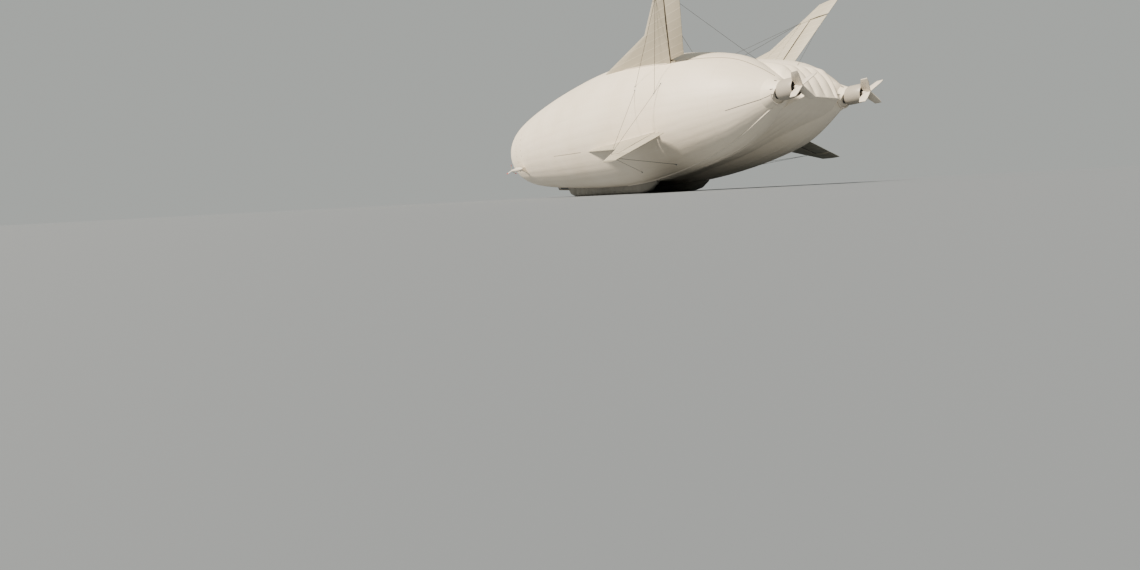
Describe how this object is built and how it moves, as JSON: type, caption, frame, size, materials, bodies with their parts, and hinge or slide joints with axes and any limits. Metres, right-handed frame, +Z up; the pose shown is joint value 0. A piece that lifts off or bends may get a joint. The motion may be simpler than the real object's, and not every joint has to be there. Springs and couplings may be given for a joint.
{
  "type": "1:10 scale model of a two-lobe hybrid airship",
  "caption": "Scale model of a hybrid airship: two-lobe hull on landing skids, X tail fins with flaps, tilting side propellers, ducted stern fans, slung gondola.",
  "frame": {"origin": "middle of the airship's footprint on the floor, halfway between nose and stern", "axes": "+X to port, +Y from the nose towards the stern, +Z up from the floor that the skids stand on"},
  "size_m": [4.802, 9.1848, 2.8749],
  "materials": {
    "hull_fabric": "warm off-white laminated fabric, satin",
    "fin_fabric": "greyish beige fabric over a stiff plate, satin",
    "composite": "painted composite, off-white, semi-gloss",
    "dark_frame": "dark grey painted frame",
    "propeller_blade": "light grey painted composite blades with red tips",
    "fan_blade": "dark grey composite fan blades",
    "window_glass": "near-black tinted glazing",
    "skid_fabric": "grey coated fabric, matte",
    "stay_wire": "thin dark stays"
  },
  "bodies": {
    "airship": {"envelope_lobe_port": "hull_fabric", "envelope_lobe_starboard": "hull_fabric", "envelope_centre": "hull_fabric", "fin_upper_port": "fin_fabric", "fin_upper_starboard": "fin_fabric", "fin_lower_port": "fin_fabric", "fin_lower_starboard": "fin_fabric", "stays_upper_outer_port": "stay_wire", "stays_upper_outer_starboard": "stay_wire", "stays_upper_inner_port": "stay_wire", "stays_upper_inner_starboard": "stay_wire", "stays_lower_upper_port": "stay_wire", "stays_lower_upper_starboard": "stay_wire", "stays_lower_under_port": "stay_wire", "stays_lower_under_starboard": "stay_wire", "pylon_port": "composite", "pylon_starboard": "composite", "duct_port": "composite", "duct_starboard": "composite", "duct_mount_port": "hull_fabric", "duct_mount_starboard": "hull_fabric", "vanes_port": "composite", "vanes_starboard": "composite", "skid_port": "skid_fabric", "skid_starboard": "skid_fabric", "gondola_floor": "composite", "gondola_roof": "composite", "gondola_front": "composite", "gondola_bulkhead": "composite", "gondola_fairing": "composite", "gondola_wall_port": "composite", "gondola_wall_starboard": "composite", "glass_forward_port": "window_glass", "glass_forward_starboard": "window_glass", "glass_aft_port": "window_glass", "glass_aft_starboard": "window_glass", "windscreen": "window_glass"},
    "nacelle_port": {"nacelle_port": "composite"},
    "nacelle_starboard": {"nacelle_starboard": "composite"},
    "propeller_port": {"propeller_port": "propeller_blade"},
    "propeller_starboard": {"propeller_starboard": "propeller_blade"},
    "fan_port": {"fan_port": "fan_blade"},
    "fan_starboard": {"fan_starboard": "fan_blade"},
    "flap_upper_port": {"flap_upper_port": "fin_fabric"},
    "flap_upper_starboard": {"flap_upper_starboard": "fin_fabric"},
    "flap_lower_port": {"flap_lower_port": "fin_fabric"},
    "flap_lower_starboard": {"flap_lower_starboard": "fin_fabric"},
    "door_port": {"gondola_door_port": "composite"},
    "door_starboard": {"gondola_door_starboard": "composite"}
  },
  "joints": [
    {"name": "nacelle_tilt_port", "type": "hinge", "parent": "airship", "child": "nacelle_port", "pos_m": [1.57462, -2.68145, 0.74587], "axis": [1, 0, 0], "range_deg": [-15, 15]},
    {"name": "nacelle_tilt_starboard", "type": "hinge", "parent": "airship", "child": "nacelle_starboard", "pos_m": [-1.57462, -2.68145, 0.74587], "axis": [1, 0, 0], "range_deg": [-15, 15]},
    {"name": "propeller_spin_port", "type": "hinge", "parent": "nacelle_port", "child": "propeller_port", "pos_m": [1.57462, -3.22744, 0.74587], "axis": [0, 1, 0], "continuous": true},
    {"name": "propeller_spin_starboard", "type": "hinge", "parent": "nacelle_starboard", "child": "propeller_starboard", "pos_m": [-1.57462, -3.22744, 0.74587], "axis": [0, 1, 0], "continuous": true},
    {"name": "fan_spin_port", "type": "hinge", "parent": "airship", "child": "fan_port", "pos_m": [0.67763, 4.3483, 1.18463], "axis": [0, 1, 0], "continuous": true},
    {"name": "fan_spin_starboard", "type": "hinge", "parent": "airship", "child": "fan_starboard", "pos_m": [-0.67763, 4.3483, 1.18463], "axis": [0, 1, 0], "continuous": true},
    {"name": "flap_upper_hinge_port", "type": "hinge", "parent": "airship", "child": "flap_upper_port", "pos_m": [1.13741, 2.7298, 1.92593], "axis": [0.4336, 0.3436, 0.833], "range_deg": [-25, 25]},
    {"name": "flap_upper_hinge_starboard", "type": "hinge", "parent": "airship", "child": "flap_upper_starboard", "pos_m": [-1.13741, 2.7298, 1.92593], "axis": [-0.4336, 0.3436, 0.833], "range_deg": [-25, 25]},
    {"name": "flap_lower_hinge_port", "type": "hinge", "parent": "airship", "child": "flap_lower_port", "pos_m": [1.44673, 2.65668, 0.8552], "axis": [0.9139, 0.1684, -0.3693], "range_deg": [-25, 25]},
    {"name": "flap_lower_hinge_starboard", "type": "hinge", "parent": "airship", "child": "flap_lower_starboard", "pos_m": [-1.44673, 2.65668, 0.8552], "axis": [-0.9139, 0.1684, -0.3693], "range_deg": [-25, 25]},
    {"name": "door_hinge_port", "type": "hinge", "parent": "airship", "child": "door_port", "pos_m": [0.1794, -1.76493, 0.16373], "axis": [0, 0.9992, -0.0407], "range_deg": [0, 120]},
    {"name": "door_hinge_starboard", "type": "hinge", "parent": "airship", "child": "door_starboard", "pos_m": [-0.1794, -1.76493, 0.16373], "axis": [0, -0.9992, 0.0407], "range_deg": [0, 120]}
  ]
}
